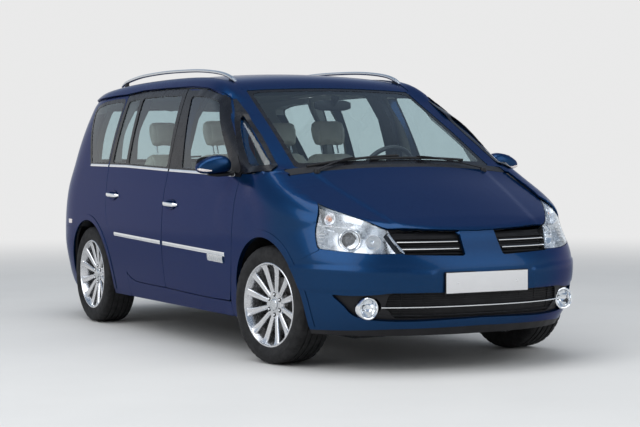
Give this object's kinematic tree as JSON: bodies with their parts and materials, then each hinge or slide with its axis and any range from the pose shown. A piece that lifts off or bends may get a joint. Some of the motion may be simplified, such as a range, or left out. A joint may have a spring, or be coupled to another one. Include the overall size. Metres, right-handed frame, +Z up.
{
  "type": "people carrier",
  "caption": "One-box people carrier with steered front wheels, hinged side doors, hood and tailgate, glazed cabin with seats, and roof bars.",
  "frame": {"origin": "on the ground, under the centre of the car's bounding box", "axes": "+X forward, +Y to the car's left, +Z up"},
  "size_m": [4.662, 2.21, 1.7379],
  "materials": {
    "body_paint": "deep metallic navy blue under clear coat",
    "black_plastic": "black, fine grain",
    "cabin_trim": "dark grey, soft touch",
    "tinted_glass": "lightly tinted",
    "clear_lens": "clear",
    "red_lens": "red, ribbed inside",
    "chassis_steel": "satin black underbody coat",
    "cast_iron": "bare, dull",
    "engine_alloy": "cast, dull",
    "exhaust_steel": "heat stained",
    "leather": "beige",
    "satin_alloy": "satin",
    "wheel_alloy": "silver lacquer",
    "tyre_rubber": "black, dull"
  },
  "bodies": {
    "body": {"side_frames": "body_paint", "quarter_panels": "body_paint", "front_fenders": "body_paint", "sills": "body_paint", "roof_panel": "body_paint", "front_bumper": "body_paint", "rear_bumper": "body_paint", "cowl_panel": "black_plastic", "grilles": "black_plastic", "wheel_liners": "black_plastic", "fuel_tank": "black_plastic", "centre_pillars": "cabin_trim", "dashboard": "cabin_trim", "windscreen": "tinted_glass", "quarter_glass": "tinted_glass", "headlamps": "clear_lens", "fog_lamps": "clear_lens", "tail_lamps": "red_lens", "floor_pan": "chassis_steel", "front_suspension": "cast_iron", "rear_axle": "cast_iron", "engine": "engine_alloy", "exhaust": "exhaust_steel", "front_seats": "leather", "second_row_seats": "leather", "roof_bars": "satin_alloy"},
    "front_left_door": {"front_left_door": "body_paint", "front_left_glass": "tinted_glass", "left_mirror": "body_paint"},
    "front_right_door": {"front_right_door": "body_paint", "front_right_glass": "tinted_glass", "right_mirror": "body_paint"},
    "rear_left_door": {"rear_left_door": "body_paint", "rear_left_glass": "tinted_glass"},
    "rear_right_door": {"rear_right_door": "body_paint", "rear_right_glass": "tinted_glass"},
    "hood": {"hood": "body_paint"},
    "tailgate": {"tailgate": "body_paint", "tailgate_glass": "tinted_glass"},
    "steering_wheel": {"steering_wheel": "cabin_trim"},
    "left_knuckle": {"left_knuckle": "cast_iron"},
    "right_knuckle": {"right_knuckle": "cast_iron"},
    "front_left_wheel": {"front_left_wheel": "wheel_alloy", "front_left_tyre": "tyre_rubber"},
    "front_right_wheel": {"front_right_wheel": "wheel_alloy", "front_right_tyre": "tyre_rubber"},
    "rear_left_wheel": {"rear_left_wheel": "wheel_alloy", "rear_left_tyre": "tyre_rubber"},
    "rear_right_wheel": {"rear_right_wheel": "wheel_alloy", "rear_right_tyre": "tyre_rubber"}
  },
  "joints": [
    {"name": "left_steer", "type": "hinge", "parent": "body", "child": "left_knuckle", "pos_m": [1.4215, 0.727, 0.335], "axis": [0, 0, 1], "range_deg": [-44.5, 25.5]},
    {"name": "right_steer", "type": "hinge", "parent": "body", "child": "right_knuckle", "pos_m": [1.4215, -0.727, 0.335], "axis": [0, 0, 1], "range_deg": [-44.6, 25.6]},
    {"name": "steering_wheel_turn", "type": "hinge", "parent": "body", "child": "steering_wheel", "pos_m": [0.585, 0.38, 1.045], "axis": [-0.9135, 0, 0.4067], "range_deg": [-668, 383]},
    {"name": "front_left_wheel_spin", "type": "hinge", "parent": "left_knuckle", "child": "front_left_wheel", "pos_m": [1.4116, 0.78618, 0.335], "axis": [-0.165, 0.9863, 0], "continuous": true},
    {"name": "front_right_wheel_spin", "type": "hinge", "parent": "right_knuckle", "child": "front_right_wheel", "pos_m": [1.4314, -0.78618, 0.335], "axis": [-0.165, 0.9863, 0], "continuous": true},
    {"name": "rear_left_wheel_spin", "type": "hinge", "parent": "body", "child": "rear_left_wheel", "pos_m": [-1.3815, 0.787, 0.335], "axis": [0, 1, 0], "continuous": true},
    {"name": "rear_right_wheel_spin", "type": "hinge", "parent": "body", "child": "rear_right_wheel", "pos_m": [-1.3815, -0.787, 0.335], "axis": [0, 1, 0], "continuous": true},
    {"name": "front_left_door_hinge", "type": "hinge", "parent": "body", "child": "front_left_door", "pos_m": [1.08, 0.925, 0.7], "axis": [0, 0, -1], "range_deg": [0, 68]},
    {"name": "front_right_door_hinge", "type": "hinge", "parent": "body", "child": "front_right_door", "pos_m": [1.08, -0.925, 0.7], "axis": [0, 0, 1], "range_deg": [0, 68]},
    {"name": "rear_left_door_hinge", "type": "hinge", "parent": "body", "child": "rear_left_door", "pos_m": [0.01, 0.929, 0.7], "axis": [0, 0, -1], "range_deg": [0, 70]},
    {"name": "rear_right_door_hinge", "type": "hinge", "parent": "body", "child": "rear_right_door", "pos_m": [0.01, -0.929, 0.7], "axis": [0, 0, 1], "range_deg": [0, 70]},
    {"name": "hood_hinge", "type": "hinge", "parent": "body", "child": "hood", "pos_m": [1.404, 0, 1.1], "axis": [0, -1, 0], "range_deg": [0, 55]},
    {"name": "tailgate_hinge", "type": "hinge", "parent": "body", "child": "tailgate", "pos_m": [-2.052, 0, 1.597], "axis": [0, 1, 0], "range_deg": [0, 82]}
  ],
  "couplings": [
    {"joint": "right_steer", "follows": "left_steer", "ratio": 1},
    {"joint": "steering_wheel_turn", "follows": "left_steer", "ratio": 15}
  ]
}
